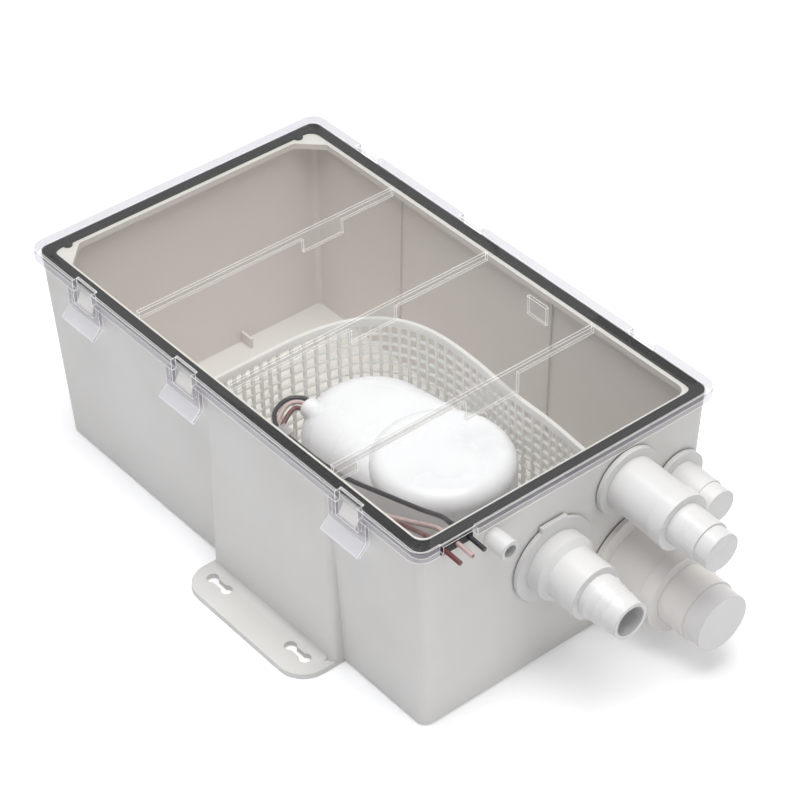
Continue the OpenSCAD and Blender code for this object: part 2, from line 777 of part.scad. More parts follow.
module pump_body() color(shell_white) {
  difference() {
    union() {
      pump_casing();
      translate([motor_x, pump_y, cap_z - sunk])
        cylinder(h = neck_h + sunk, r = cap_r - cap_wall - loose);
      // Volute housing below the plate, with the outlet duct and riser
      translate([motor_x, pump_y, volute_z]) cylinder(h = strainer_top - volute_z + sunk, r = volute_r);
      translate([motor_x, pump_y, duct_z]) rotate([0, 90, 0]) cylinder(h = riser_offset, r = duct_r);
      translate([riser_x, pump_y, volute_z]) cylinder(h = riser_top - volute_z, r = riser_r);
      // Gland that the leads come out of
      translate([gland_x, gland_y, gland_z]) rotate([0, 90, 0]) cylinder(h = gland_l, r = gland_r);
    }
    // Motor bay, open at the top under the cap
    translate([motor_x, pump_y, plate_top]) cylinder(h = cap_z, r = motor_bay_r);
    // Seat of the cap, cut round its skirt
    translate([motor_x, pump_y, cap_z]) ring(cap_r + loose, cap_r - cap_wall - loose, cap_z);
    translate([motor_x, pump_y, cap_z + neck_h]) cylinder(h = cap_z, r = cap_r + loose);
    // Float bay with a guide pin left standing
    translate([dome_x, pump_y, plate_top]) ring(float_bay_r, float_pin_r, float_bay_top - plate_top);
    for (i = [0:3]) rotate_about([dome_x, pump_y], 45 + 90*i)
      translate([float_hole_ring_r, 0, strainer_top - overrun]) cylinder(h = plate_t + 2*overrun, r = float_hole_r);
    // Volute cavity, eye, duct bore and riser bore
    translate([motor_x, pump_y, volute_z + volute_floor])
      cylinder(h = strainer_top - volute_z - volute_floor, r = volute_r - volute_wall);
    translate([motor_x, pump_y, volute_z - overrun]) cylinder(h = volute_floor + 2*overrun, r = eye_r);
    translate([motor_x + volute_r/2, pump_y, duct_z]) rotate([0, 90, 0])
      cylinder(h = riser_offset - volute_r/2, r = duct_bore_r);
    translate([riser_x, pump_y, volute_z + riser_wall]) cylinder(h = riser_top, r = riser_bore_r);
    // Seat of the shaft seal
    translate([motor_x, pump_y, strainer_top - overrun]) cylinder(h = plate_t + 2*overrun, r = seal_r + fit);
  }
}

// Turn the children about an upright axis through a point
module rotate_about(centre, angle) {
  translate([centre[0], centre[1], 0]) rotate([0, 0, angle]) children();
}

module motor_cap() color(shell_white) {
  translate([motor_x, pump_y, 0]) difference() {
    rotate_extrude() polygon(drum_outline(cap_r, pump_h, cap_crown, cap_round_r, cap_z));
    rotate_extrude() polygon(drum_outline(
      cap_r - cap_wall, pump_h - cap_wall, cap_crown, cap_round_r - cap_wall, cap_z - overrun));
  }
}

module motor_can() color("silver") {
  translate([motor_x, pump_y, 0]) difference() {
    rotate_extrude() polygon(drum_outline(
      motor_can_r, plate_top + motor_can_h, 0, can_round_r, plate_top));
    translate([0, 0, plate_top - overrun]) cylinder(h = shaft_top - plate_top + 2*overrun, r = shaft_r + fit);
  }
}

module motor_shaft() color("lightgray") {
  translate([motor_x, pump_y, impeller_z]) cylinder(h = shaft_top - impeller_z, r = shaft_r);
}

module shaft_seal() color("dimgray") {
  translate([motor_x, pump_y, strainer_top]) ring(seal_r, shaft_r + seal_bore_gap, plate_t);
}

// Point on a curved vane, moved sideways by its thickness
function vane_point(i, out) =
  let (
    share = i/vane_steps, r = hub_r - vane_t + (impeller_r - hub_r)*share,
    a = vane_sweep*share)
  [r*cos(a) - out*sin(a), r*sin(a) + out*cos(a)];

// Impeller with curved vanes under a round shroud
module impeller() color("darkslategray") {
  vane_h = impeller_h - shroud_t;
  translate([motor_x, pump_y, impeller_z]) difference() {
    union() {
      translate([0, 0, vane_h]) cylinder(h = shroud_t, r = impeller_r);
      cylinder(h = impeller_h, r = hub_r);
      for (k = [0:vanes - 1]) rotate([0, 0, 360*k/vanes])
        linear_extrude(vane_h + sunk) polygon(concat(
          [for (i = [0:vane_steps]) vane_point(i, 0)],
          [for (i = [vane_steps:-1:0]) vane_point(i, vane_t)]));
    }
    translate([0, 0, -overrun]) cylinder(h = impeller_h + 2*overrun, r = shaft_r + fit/2);
  }
}

module pump_float() color("wheat") {
  translate([dome_x, pump_y, plate_top + loose]) ring(float_r, float_pin_r + loose, float_h);
}

// Round bar bent round the elbow, started early and ended late by an angle
module elbow(r, extra) {
  translate([riser_x + bend_r, pump_y, bend_z]) rotate([90, 0, 0]) rotate([0, 0, 90 - wall_draft - extra])
    rotate_extrude(angle = 90 + wall_draft + 2*extra) translate([bend_r, 0]) circle(r = r);
}

// Rubber elbow with a thicker cuff at each end
module outlet_hose() color("dimgray") {
  difference() {
    union() {
      elbow(hose_r, 0);
      translate([riser_x, pump_y, bend_z - hose_drop]) cylinder(h = hose_drop + sunk, r = cuff_r);
      on_end_wall(discharge_y, discharge_z) from_wall(bend_end_l - sunk, bend_end_l + hose_tail, cuff_r);
    }
    elbow(hose_bend_bore_r, bend_overrun);
    translate([riser_x, pump_y, bend_z - hose_drop - overrun])
      cylinder(h = hose_drop + overrun, r = hose_bore_r);
    on_end_wall(discharge_y, discharge_z)
      from_wall(bend_end_l, bend_end_l + hose_tail + overrun, hose_bore_r);
  }
}

// Worm-drive clamp round a hose, axis along Z
module hose_clamp() {
  ring(cuff_r + clamp_t, cuff_r + fit, clamp_w);
  translate([cuff_r + fit, -clamp_box[0]/2, (clamp_w - clamp_box[2])/2]) difference() {
    cube([clamp_box[1], clamp_box[0], clamp_box[2]]);
    translate([clamp_box[1]/2 + clamp_t/2, -overrun, clamp_box[2]/2]) rotate([-90, 0, 0])
      cylinder(h = clamp_box[0] + 2*overrun, r = clamp_screw_r + fit);
  }
  translate([cuff_r + clamp_box[1]/2 + clamp_t/2 + fit, -clamp_screw_l/2, clamp_w/2]) rotate([-90, 0, 0])
    cylinder(h = clamp_screw_l, r = clamp_screw_r + 2*fit);
}

module hose_clamps() color("silver") {
  translate([riser_x, pump_y, bend_z - hose_drop + clamp_lift]) rotate([0, 0, -90]) hose_clamp();
  on_end_wall(discharge_y, discharge_z) translate([0, 0, bend_end_l + fit]) rotate([0, 0, 90])
    hose_clamp();
}

// Check valve body, flange and hose barb in one moulding
module discharge_fitting() color(shell_white) {
  // Each ridge is a little smaller than the last and tapers towards the hose's end
  barb_outline = [for (i = [0:barb_count - 1])
    let (ridge = barb_r - i*barb_step, start = barb_start + i*barb_pitch)
      each [[ridge - barb_depth, start], [ridge, start + barb_lead]]];
  on_end_wall(discharge_y, discharge_z) difference() {
    union() {
      rotate_extrude() polygon(concat(
        [[0, -spigot_in], [riser_r, -spigot_in], [riser_r, -shank_in], [shank_r, -shank_in],
          [shank_r, seal_t], [discharge_flange_r, seal_t], [discharge_flange_r, flange_t], [collar_r, flange_t],
          [collar_r, collar_end], [valve_body_r, valve_body_start], [valve_body_r, valve_body_end],
          [barb_r - barb_depth, valve_body_end + barb_lead]],
        barb_outline,
        [[barb_tip_r, barb_start + barb_count*barb_pitch], [barb_tip_r, discharge_l], [0, discharge_l]]));
      translate([-tab_top, -tab_w/2 + tab_shift, seal_t]) cube([tab_top, tab_w, flange_t - seal_t]);
    }
    from_wall(-spigot_in - overrun, 0, riser_bore_r);
    from_wall(-sunk, valve_seat_l + sunk, seat_bore_r);
    from_wall(valve_seat_l, valve_body_end, valve_chamber_r);
    from_wall(valve_body_end - overrun, discharge_l + overrun, discharge_bore_r);
    // Recesses that the flap's trunnions turn in
    translate([-flap_pin_h, 0, valve_seat_l + flap_t]) rotate([90, 0, 0])
      cylinder(h = 2*(flap_pin_half + fit), r = flap_pin_r + fit, center = true);
  }
}

// Flap of the check valve, hung from its two trunnions
module check_flap() color("black") {
  on_end_wall(discharge_y, discharge_z) {
    from_wall(valve_seat_l + flap_gap, valve_seat_l + flap_t, flap_r);
    translate([-flap_pin_h, -flap_ear_w/2, valve_seat_l + flap_gap])
      cube([flap_pin_h - flap_r/2, flap_ear_w, flap_t - flap_gap]);
    translate([-flap_pin_h, 0, valve_seat_l + flap_t]) rotate([90, 0, 0])
      cylinder(h = 2*flap_pin_half, r = flap_pin_r, center = true);
  }
}

module discharge_seal() color("dimgray") {
  on_end_wall(discharge_y, discharge_z) ring(discharge_flange_r - seal_t, shank_r + fit, seal_t);
}

module discharge_nut() color("white") {
  on_end_wall(discharge_y, discharge_z) translate([0, 0, -wall_t - nut_t]) difference() {
    union() {
      cylinder(h = nut_t, r = nut_r);
      for (i = [0:nut_lugs - 1]) rotate([0, 0, 360*i/nut_lugs])
        translate([nut_r - nut_lug_out, -nut_lug_w/2, 0]) cube([2*nut_lug_out, nut_lug_w, nut_t]);
    }
    translate([0, 0, -overrun]) cylinder(h = nut_t + 2*overrun, r = shank_r + fit);
  }
}

// Capped inlet: a flange, a body, a ring and a hose end, moulded closed.
// Radii run from the wall outward, ends holds where each of them stops.
module capped_inlet(radii, ends, shank_r, bore_r) {
  n = len(radii);
  steps = [for (i = [0:n - 1]) each [[radii[i], i == 0 ? seal_t : ends[i - 1]], [radii[i], ends[i]]]];
  rotate_extrude() polygon(concat(
    [[bore_r, -wall_t], [shank_r, -wall_t], [shank_r, seal_t]],
    steps,
    [[0, ends[n - 1]], [0, ends[n - 1] - inlet_end_wall], [bore_r, ends[n - 1] - inlet_end_wall]]));
}

module inlet_a() color(shell_white) on_end_wall(inlet_a_y, tub_h - inlet_a_drop)
  capped_inlet(inlet_a_radii, inlet_a_ends, inlet_a_shank_r, inlet_a_shank_r - inlet_wall);
module inlet_b() color(shell_white) on_end_wall(inlet_b_y, inlet_b_z)
  capped_inlet(inlet_b_radii, inlet_b_ends, inlet_b_shank_r, inlet_b_shank_r - inlet_wall);
module inlet_c() color("lightgray") on_end_wall(inlet_c_y, inlet_c_z)
  capped_inlet(inlet_c_radii, inlet_c_ends, inlet_c_shank_r, inlet_c_shank_r - inlet_wall);
module inlet_a_seal() color("dimgray") on_end_wall(inlet_a_y, tub_h - inlet_a_drop)
  ring(inlet_a_radii[0] - seal_t, inlet_a_shank_r + fit, seal_t);
module inlet_b_seal() color("dimgray") on_end_wall(inlet_b_y, inlet_b_z)
  ring(inlet_b_radii[0] - seal_t, inlet_b_shank_r + fit, seal_t);
module inlet_c_seal() color("dimgray") on_end_wall(inlet_c_y, inlet_c_z)
  ring(inlet_c_radii[0] - seal_t, inlet_c_shank_r + fit, seal_t);

module vent_nipple() color(shell_white) {
  on_end_wall(nipple_y, tub_h - nipple_drop) rotate_extrude() polygon([
    [nipple_bore_r - bore_step, -wall_t], [nipple_shank_r, -wall_t], [nipple_shank_r, 0],
    [nipple_r, 0], [nipple_r, nipple_l], [nipple_bore_r, nipple_l],
    [nipple_bore_r, nipple_step_l], [nipple_bore_r - bore_step, nipple_step_l]]);
}

// Smooth curve through the points of a route
function spline(a, b, c, d, t) =
  ((2*b) + (c - a)*t + (2*a - 5*b + 4*c - d)*t*t + (3*b - a - 3*c + d)*t*t*t)/2;
function smooth_route(points) = let (last = len(points) - 1) concat(
  [for (i = [0:last - 1]) for (k = [0:lead_steps - 1])
    spline(points[max(i - 1, 0)], points[i], points[i + 1], points[min(i + 2, last)], k/lead_steps)],
  [points[last]]);
function carried(v, along) = unit(v - (v*along)*along);
function side_vectors(path, i, v) =
  i == len(path) ? [] : let (w = carried(v, path_dir(path, i))) concat([w], side_vectors(path, i + 1, w));

// Lead swept along its route
module lead(points) {
  path = smooth_route(points);
  sides = side_vectors(path, 0, [0, 0, 1]);
  loft([for (i = [0:len(path) - 1])
    let (along = path_dir(path, i), u = sides[i], v = cross(along, u))
      [for (k = [0:lead_sides - 1])
        path[i] + lead_r*(cos(360*k/lead_sides)*u + sin(360*k/lead_sides)*v)]]);
}

module lead_black() color("black") lead(route_black);
module lead_white() color("antiquewhite") lead(route_white);
module lead_brown() color("saddlebrown") lead(route_brown);

// Rubber block in the rim that the three leads pass through
module lead_grommet() color("black") {
  outer_x = wall_x(grommet_z) + grommet_out;
  difference() {
    translate([opening_x, grommet_y - grommet_w/2 + fit, grommet_z - grommet_h/2 + fit])
      cube([outer_x - opening_x, grommet_w - 2*fit, grommet_h - 2*fit]);
    for (route = [route_black, route_white, route_brown])
      translate([opening_x - overrun, route[len(route) - 2][1], grommet_z]) rotate([0, 90, 0])
        cylinder(h = 2*ledge_w, r = grommet_bore_r);
  }
}

// Translucent strap that holds the three leads together beside the pump
module lead_strap() color([0.8, 0.8, 0.82, 0.7]) {
  translate([strap_x, strap_y - strap_w/2, strap_z - strap_h/2]) difference() {
    cube([strap_l, strap_w, strap_h]);
    translate([-overrun, strap_t, strap_t]) cube([strap_l + 2*overrun, strap_w - 2*strap_t, strap_h - 2*strap_t]);
  }
}

tub();
lid();
gasket();
near_latch(0);  // latch_near_1
near_latch(1);  // latch_near_2
near_latch(2);  // latch_near_3
far_latch(0);  // latch_far_1
far_latch(1);  // latch_far_2
far_latch(2);  // latch_far_3
screen();
strainer_base();
pump_body();
motor_cap();
motor_can();
motor_shaft();
impeller();
shaft_seal();
pump_float();
outlet_hose();
hose_clamps();
discharge_fitting();
discharge_seal();
discharge_nut();
check_flap();
inlet_a();
inlet_b();
inlet_c();
inlet_a_seal();
inlet_b_seal();
inlet_c_seal();
vent_nipple();
lead_brown();
lead_white();
lead_black();
lead_grommet();
lead_strap();
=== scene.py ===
# %% [markdown]
# A shower sump: a pale moulded tub with a clear clip-on lid, a curved mesh screen, a small
# submersible pump and a row of hose fittings. The shapes come ready made from the CAD model.
# Blender's work here is the view, the light and above all the finishes. Five pieces are also made
# anew: the three thin leads, which a swept curve gives better than a CAD solid does, and the screen
# and the casing of the pump, which get finer meshes. Loading the model comes first, because every
# piece has to keep the place and the body that the model gives it.

# %% Load the model
import math

import bmesh
import bpy
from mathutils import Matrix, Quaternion, Vector


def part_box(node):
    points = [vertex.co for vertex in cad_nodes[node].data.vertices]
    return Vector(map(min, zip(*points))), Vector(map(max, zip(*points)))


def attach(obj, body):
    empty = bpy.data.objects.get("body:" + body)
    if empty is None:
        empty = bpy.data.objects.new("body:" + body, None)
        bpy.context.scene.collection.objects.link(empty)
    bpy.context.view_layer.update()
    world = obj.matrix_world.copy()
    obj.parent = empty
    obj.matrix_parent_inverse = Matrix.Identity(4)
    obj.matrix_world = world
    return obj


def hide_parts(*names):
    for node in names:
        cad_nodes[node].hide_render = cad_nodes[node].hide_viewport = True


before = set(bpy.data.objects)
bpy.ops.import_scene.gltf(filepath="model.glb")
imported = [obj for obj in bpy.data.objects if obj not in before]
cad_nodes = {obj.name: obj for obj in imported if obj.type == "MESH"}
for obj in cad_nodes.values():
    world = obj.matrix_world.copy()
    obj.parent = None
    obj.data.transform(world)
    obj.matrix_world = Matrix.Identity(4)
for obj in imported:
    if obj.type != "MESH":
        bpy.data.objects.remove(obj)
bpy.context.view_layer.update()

mm = 0.001

# %% [markdown]
# The photograph was taken with a long lens from above one corner, so upright edges stay almost
# parallel. The camera can be placed by eye or solved from the tub's known edges. The values below
# were solved: the direction in degrees, the distance in metres and the slight tilt of the picture.
# A 36 mm sensor with a 125 mm lens gives the same flat perspective.

# %% Camera
view_azimuth = math.radians(51.408)
view_elevation = math.radians(39.158)
view_roll = math.radians(-1.386)
view_distance = 1.47407
view_target = Vector((-0.01352, 0.03420, 0.03918))
lens_mm = 125.3
sensor_mm = 36.0
nearest, farthest = 0.05, 50


def put_in_scene(name, data):
    """A new object in the scene, made from a camera, a mesh or a lamp."""
    thing = bpy.data.objects.new(name, data)
    bpy.context.scene.collection.objects.link(thing)
    return thing


view_back = Vector((
    math.cos(view_elevation) * math.sin(view_azimuth),
    -math.cos(view_elevation) * math.cos(view_azimuth),
    math.sin(view_elevation)))
camera_data = bpy.data.cameras.new("photo_camera")
camera_data.lens = lens_mm
camera_data.sensor_width = sensor_mm
camera_data.clip_start = nearest
camera_data.clip_end = farthest
camera = put_in_scene("photo_camera", camera_data)
camera.rotation_mode = "QUATERNION"
camera.location = view_target + view_distance * view_back
camera.rotation_quaternion = (-view_back).to_track_quat("-Z", "Y") @ Quaternion((0, 0, 1), view_roll)
bpy.context.scene.camera = camera
print("camera at", [round(v, 3) for v in camera.location])

# %% [markdown]
# Each finish is a small graph of nodes. Colours are picked as the sRGB hex values that a paint
# program shows, but Cycles works with linear light, so one function turns the one into the other.
# A second small function adds a node, sets its properties and fills or links its sockets, which
# keeps each recipe short enough to read in one go.

# %% Colour and node helpers
def linear(hex_colour):
    """Linear RGBA of an sRGB hex colour such as "e2e0da", by the curve of the sRGB standard."""
    parts = [int(hex_colour[i:i + 2], 16) / 255 for i in (0, 2, 4)]
    return tuple(c / 12.92 if c <= 0.04045 else ((c + 0.055) / 1.055) ** 2.4 for c in parts) + (1.0,)


def add(tree, kind, sockets=None, **settings):
    """A new node of that kind, with its settings, and each named socket set or linked."""
    node = tree.nodes.new("ShaderNode" + kind)
    for name, value in settings.items():
        setattr(node, name, value)
    for name, value in (sockets or {}).items():
        if isinstance(value, bpy.types.NodeSocket):
            tree.links.new(value, node.inputs[name])
        elif value is not None:
            node.inputs[name].default_value = value
    return node


def start_finish(name):
    """An empty material, its node tree, and the socket with the place on the object."""
    material = bpy.data.materials.new(name)
    material.use_nodes = True
    tree = material.node_tree
    tree.nodes.clear()
    return material, tree, add(tree, "TexCoord").outputs["Object"]


def end_finish(tree, shader):
    """Connect a shader socket to the material's output."""
    add(tree, "OutputMaterial", {"Surface": shader})


print("off-white in linear light:", [round(c, 3) for c in linear("dfddd9")[:3]])

# %% [markdown]
# A few steps turn up in nearly every recipe: noise at a real size, a value stretched from one range
# to another, sums, mixtures, and the two steps that shape the light on a surface. Bevel rounds the
# shading of an edge without changing the mesh, and Bump tilts the shading by the height of a
# texture. Each step gets a short function, with sizes in millimetres on the object.

# %% Steps that the recipes share
def repeats(size_mm):
    """Texture scale at which a pattern repeats every size_mm on the object, whose unit is a metre."""
    return 1000 / size_mm


def noise(tree, place, size_mm, detail, roughness=0.5):
    """Noise whose largest features have that size."""
    return add(tree, "TexNoise", {
        "Vector": place, "Scale": repeats(size_mm),
        "Detail": detail, "Roughness": roughness}).outputs["Fac"]


def span(tree, value, start, end, to_start=0.0, to_end=1.0, **settings):
    """The value stretched from one range to another and held at its ends."""
    return add(tree, "MapRange", {
        "Value": value, "From Min": start, "From Max": end,
        "To Min": to_start, "To Max": to_end}, **settings).outputs["Result"]


def calculate(tree, operation, *values):
    """Result of a Math node."""
    return add(tree, "Math", dict(enumerate(values)), operation=operation).outputs["Value"]


def mix_colours(tree, share, first, second, **settings):
    """The first colour, with a share of the second."""
    return add(tree, "MixRGB", {
        "Fac": share, "Color1": first, "Color2": second}, **settings).outputs["Color"]


def mix_shaders(tree, share, first, second):
    """The first shader, with a share of the second."""
    return add(tree, "MixShader", {0: share, 1: first, 2: second}).outputs["Shader"]


def eased_edges(tree, edge_mm, samples=4):
    """Normals as if each edge were rounded to that radius."""
    return add(tree, "Bevel", {"Radius": edge_mm * mm}, samples=samples).outputs["Normal"]


def relief(tree, height, depth_mm, normal=None, strength=1.0):
    """Normals tilted by a texture that is that deep."""
    return add(tree, "Bump", {
        "Strength": strength, "Distance": depth_mm * mm,
        "Height": height, "Normal": normal}).outputs["Normal"]


print("a 5 mm pattern has scale", repeats(5))

# %% [markdown]
# Moulded parts share three traits. The mould's surface leaves a fine grain, the plastic flows
# unevenly so that broad areas gleam a little more or less, and no edge is truly sharp: each one
# has a radius of a few tenths of a millimetre that catches a thin line of light. The grain and the
# flow are two noise textures at those sizes. One recipe serves every opaque plastic and rubber,
# with its own numbers. Where a part is another colour inside, the sign of position times normal
# tells the sides apart: on a shell round the origin it is negative on the faces that look inward.

# %% Recipe for moulded parts
noise_low, noise_high = 0.3, 0.7
speckle_share = 0.05
dullest, glossiest = 1.15, 0.9
swell_mm = 0.04
level_only = (1.0, 1.0, 0.0)
inner_blend_mm = 10
glow_reach = (0.004, 0.0035, 0.003)


def inner_share(tree, place):
    """1 on the faces of a shell that look inward, and 0 on those that look outward."""
    level = add(tree, "VectorMath", {0: place, 1: level_only}, operation="MULTIPLY").outputs["Vector"]
    normal = add(tree, "NewGeometry").outputs["Normal"]
    outward = add(tree, "VectorMath", {0: level, 1: normal}, operation="DOT_PRODUCT").outputs["Value"]
    return span(tree, outward, 0.0, -inner_blend_mm * mm)


def moulded(name, colour, shade, roughness, grain_mm, grain_depth, edge_mm,
            cloud_mm=60, glow=0.0, inside=None):
    """Opaque moulded plastic or rubber: colour drifts to shade in clouds, with a fine grain."""
    material, tree, place = start_finish(name)
    cloud = noise(tree, place, cloud_mm, 3.0)
    grain = noise(tree, place, grain_mm, 2.0, 0.6)
    ramp = add(tree, "ValToRGB", {"Fac": cloud})
    for stop, where, tint in zip(ramp.color_ramp.elements, (noise_low, noise_high), (shade, colour)):
        stop.position = where
        stop.color = linear(tint)
    tone = ramp.outputs["Color"]
    if inside is not None:
        tone = mix_colours(tree, inner_share(tree, place), tone, linear(inside))
    speckled = mix_colours(tree, speckle_share, tone, grain, blend_type="SOFT_LIGHT")
    gleam = span(tree, cloud, noise_low, noise_high, roughness * dullest, roughness * glossiest)
    swell = relief(tree, cloud, swell_mm, eased_edges(tree, edge_mm))
    shader = add(tree, "BsdfPrincipled", {
        "Base Color": speckled, "Roughness": gleam, "Normal": relief(tree, grain, grain_depth, swell),
        "Subsurface Weight": glow, "Subsurface Radius": glow_reach})
    end_finish(tree, shader.outputs["BSDF"])
    return material


# %% [markdown]
# The tub is ABS, moulded in a lightly etched tool: a warm off-white that reads grey in the shade,
# with a satin gleam and no visible pattern until the light grazes it. Its inside is a touch warmer.
# The hose fittings are ABS from a smoother tool and a little shinier. The pump's casing is whiter
# and glossier still, and its edges are rounded by millimetres.

# %% Pale plastics
# After the two colours: roughness, then the size and depth of the grain and the edge radius in mm.
abs_etched = moulded("abs_etched_off_white", "dfddd9", "d9d7d2", 0.40, 0.7, 0.02, 0.5, inside="e1dad6")
abs_smooth = moulded("abs_smooth_white", "dedddb", "d7d6d4", 0.28, 0.9, 0.012, 0.4)
abs_pump = moulded("abs_pump_white", "f2f3f6", "ecedf1", 0.26, 1.1, 0.010, 2.5, cloud_mm=40)
print("pale plastics:", [m.name for m in (abs_etched, abs_smooth, abs_pump)])

# %% [markdown]
# The large inlet's closed end looks paler and cooler than its body in the photograph. Most of that
# is light, because the end faces it and the ridges of the body shade each other. The rest is tint:
# the plastic is slightly see-through, so the thin body looks warmer than the thick end. A second
# graph could paint that on, but a ramp along the fitting's own axis is simpler: the X coordinate
# already runs along it.

# %% Large inlet
inlet_c_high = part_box("inlet_c")[1]
band_reach_mm = 11.5
band_blend_mm = 2.5
band_start = inlet_c_high.x - band_reach_mm * mm
band_end = band_start + band_blend_mm * mm
band_cloud_mm = 25
band_swell_mm = 0.03
band_glow = 0.15


def banded_abs(name, colour, shade, end_colour, roughness, edge_mm):
    """ABS that turns to another colour towards the closed end."""
    material, tree, place = start_finish(name)
    along = add(tree, "SeparateXYZ", {"Vector": place}).outputs["X"]
    cloud = noise(tree, place, band_cloud_mm, 3.0)
    share = span(tree, along, band_start, band_end, interpolation_type="SMOOTHSTEP")
    body = mix_colours(tree, cloud, linear(colour), linear(shade))
    shader = add(tree, "BsdfPrincipled", {
        "Base Color": mix_colours(tree, share, body, linear(end_colour)), "Roughness": roughness,
        "Normal": relief(tree, cloud, band_swell_mm, eased_edges(tree, edge_mm)),
        "Subsurface Weight": band_glow, "Subsurface Radius": glow_reach})
    end_finish(tree, shader.outputs["BSDF"])
    return material


abs_banded = banded_abs("abs_banded_grey", "e4e0db", "e8e5e1", "dfdddc", 0.3, 0.5)
print("the end's colour starts at", round(band_start / mm, 1), "mm")

# %% [markdown]
# The screen is polypropylene, thin enough that light comes through it. A share of Translucent
# shader beside the plain one lets the far side's light show, which is what makes the mesh look
# milky against the pump. Light also spreads inside the thin bars. That is painted on as a faint
# painted glow: an emission in the bars' own colour, which no lamp gives.

# %% Screen plastic
screen_share = 0.45
screen_painted_glow = 0.05
milk_cloud_mm = 14
milk_swell_mm = 0.03
milk_edge_mm = 0.25


def milky(name, colour, shade, roughness):
    """Thin plastic that passes some light: a plain and a translucent shader side by side, with a
    painted glow.
    """
    material, tree, place = start_finish(name)
    cloud = noise(tree, place, milk_cloud_mm, 4.0)
    tone = mix_colours(tree, cloud, linear(colour), linear(shade))
    surface = relief(tree, cloud, milk_swell_mm, eased_edges(tree, milk_edge_mm))
    body = add(tree, "BsdfPrincipled", {"Base Color": tone, "Roughness": roughness, "Normal": surface})
    behind = add(tree, "BsdfTranslucent", {"Color": tone, "Normal": surface})
    both = mix_shaders(tree, screen_share, body.outputs["BSDF"], behind.outputs["BSDF"])
    # Painted glow: an emission in the bars' own colour that no lamp gives.
    spread = add(tree, "Emission", {"Color": tone, "Strength": screen_painted_glow}).outputs["Emission"]
    end_finish(tree, add(tree, "AddShader", {0: both, 1: spread}).outputs["Shader"])
    return material


pp_screen = milky("pp_milky_white", "f4f4f3", "ecebe9", 0.35)
print("screen passes", screen_share, "of its light")

# %% [markdown]
# The lid is clear and about 2.5 mm thick. Real refraction through two close faces hardly moves what
# lies behind them, but it costs many bounces and leaves the inside dark, because Cycles can't find
# the lamps through it. So the pane is a Transparent shader with a gloss on top whose share follows
# Fresnel, as on real plastic. The gloss is kept to the side where a ray enters: where it leaves,
# a ray that hasn't been bent would meet total reflection and the pane would turn into a mirror.
#
# Light that is trapped inside the sheet runs along it and leaves at its edges, which is why they look
# white even over a dark interior. Here that light is painted on. The Bevel node finds those edges:
# where its rounded normal departs from the true one, a painted highlight is mixed in, a frosted white
# with a painted glow of its own that no lamp gives. The ribs under the pane are a little hazy for the
# same reason. Around the rim a face that stands upright shows the sheet from its end, through more
# plastic, so it gets a faint lavender grey. The strap that gathers the leads is natural nylon, which
# is milky, so the same recipe serves it with more haze.

# %% Numbers of the clear plastics
lid_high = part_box("lid")[1]
pane_mm, ridge_mm = 2.5, 0.6
pane_low = lid_high.z - (pane_mm + ridge_mm) * mm
rim_mm = 6
rim_inside = (lid_high.x - rim_mm * mm, lid_high.y - rim_mm * mm, 0.0)
rim_blend_mm = 1
rib_blend_mm = 0.5
refractive_index = 1.5
ripple_mm, ripple_depth = 45, 0.06
scuff_mm = 3
scuff_low, scuff_high = 0.35, 0.75
polished, scuffed = 0.03, 0.10
flat_agreement, edge_agreement = 0.995, 0.9
frost_white = "f4f4f6"
frost_share = 0.55
# White and strength of the painted glow at the edges of clear sheet, light that no lamp gives.
painted_highlight_white = "fbf8f2"
painted_glow_strength = 0.6
print("ribs are hazy below", round(pane_low / mm, 1), "mm")

# %% Parts of the clear recipe
def rim_share(tree, place):
    """1 over the rim of the lid and 0 inside it."""
    spread = add(tree, "VectorMath", {0: place}, operation="ABSOLUTE").outputs["Vector"]
    past = add(tree, "VectorMath", {0: spread, 1: rim_inside}, operation="SUBTRACT").outputs["Vector"]
    reach = add(tree, "SeparateXYZ", {"Vector": past}).outputs
    beyond = calculate(tree, "MAXIMUM", reach["X"], reach["Y"])
    return span(tree, beyond, -rim_blend_mm * mm, rim_blend_mm * mm)


def upright_share(tree, normal):
    """1 on upright faces and 0 on level ones."""
    up = add(tree, "SeparateXYZ", {"Vector": normal}).outputs["Z"]
    return span(tree, calculate(tree, "ABSOLUTE", up), 1.0, 0.0)


def glossy_window(tree, tone, wear, surface, leaving):
    """A transparent shader with a Fresnel gloss on the side where a ray enters."""
    window = add(tree, "BsdfTransparent", {"Color": tone}).outputs["BSDF"]
    gloss = add(tree, "BsdfGlossy", {"Roughness": wear, "Normal": surface}).outputs["BSDF"]
    mirrored = add(tree, "Fresnel", {"IOR": refractive_index, "Normal": surface}).outputs["Fac"]
    share = calculate(tree, "MULTIPLY", mirrored, calculate(tree, "SUBTRACT", 1.0, leaving))
    return mix_shaders(tree, share, window, gloss)


def frost(tree, surface):
    """A white that spreads light to both sides."""
    sockets = {"Color": linear(frost_white), "Normal": surface}
    front = add(tree, "BsdfDiffuse", sockets).outputs["BSDF"]
    through = add(tree, "BsdfTranslucent", sockets).outputs["BSDF"]
    return mix_shaders(tree, 0.5, front, through)


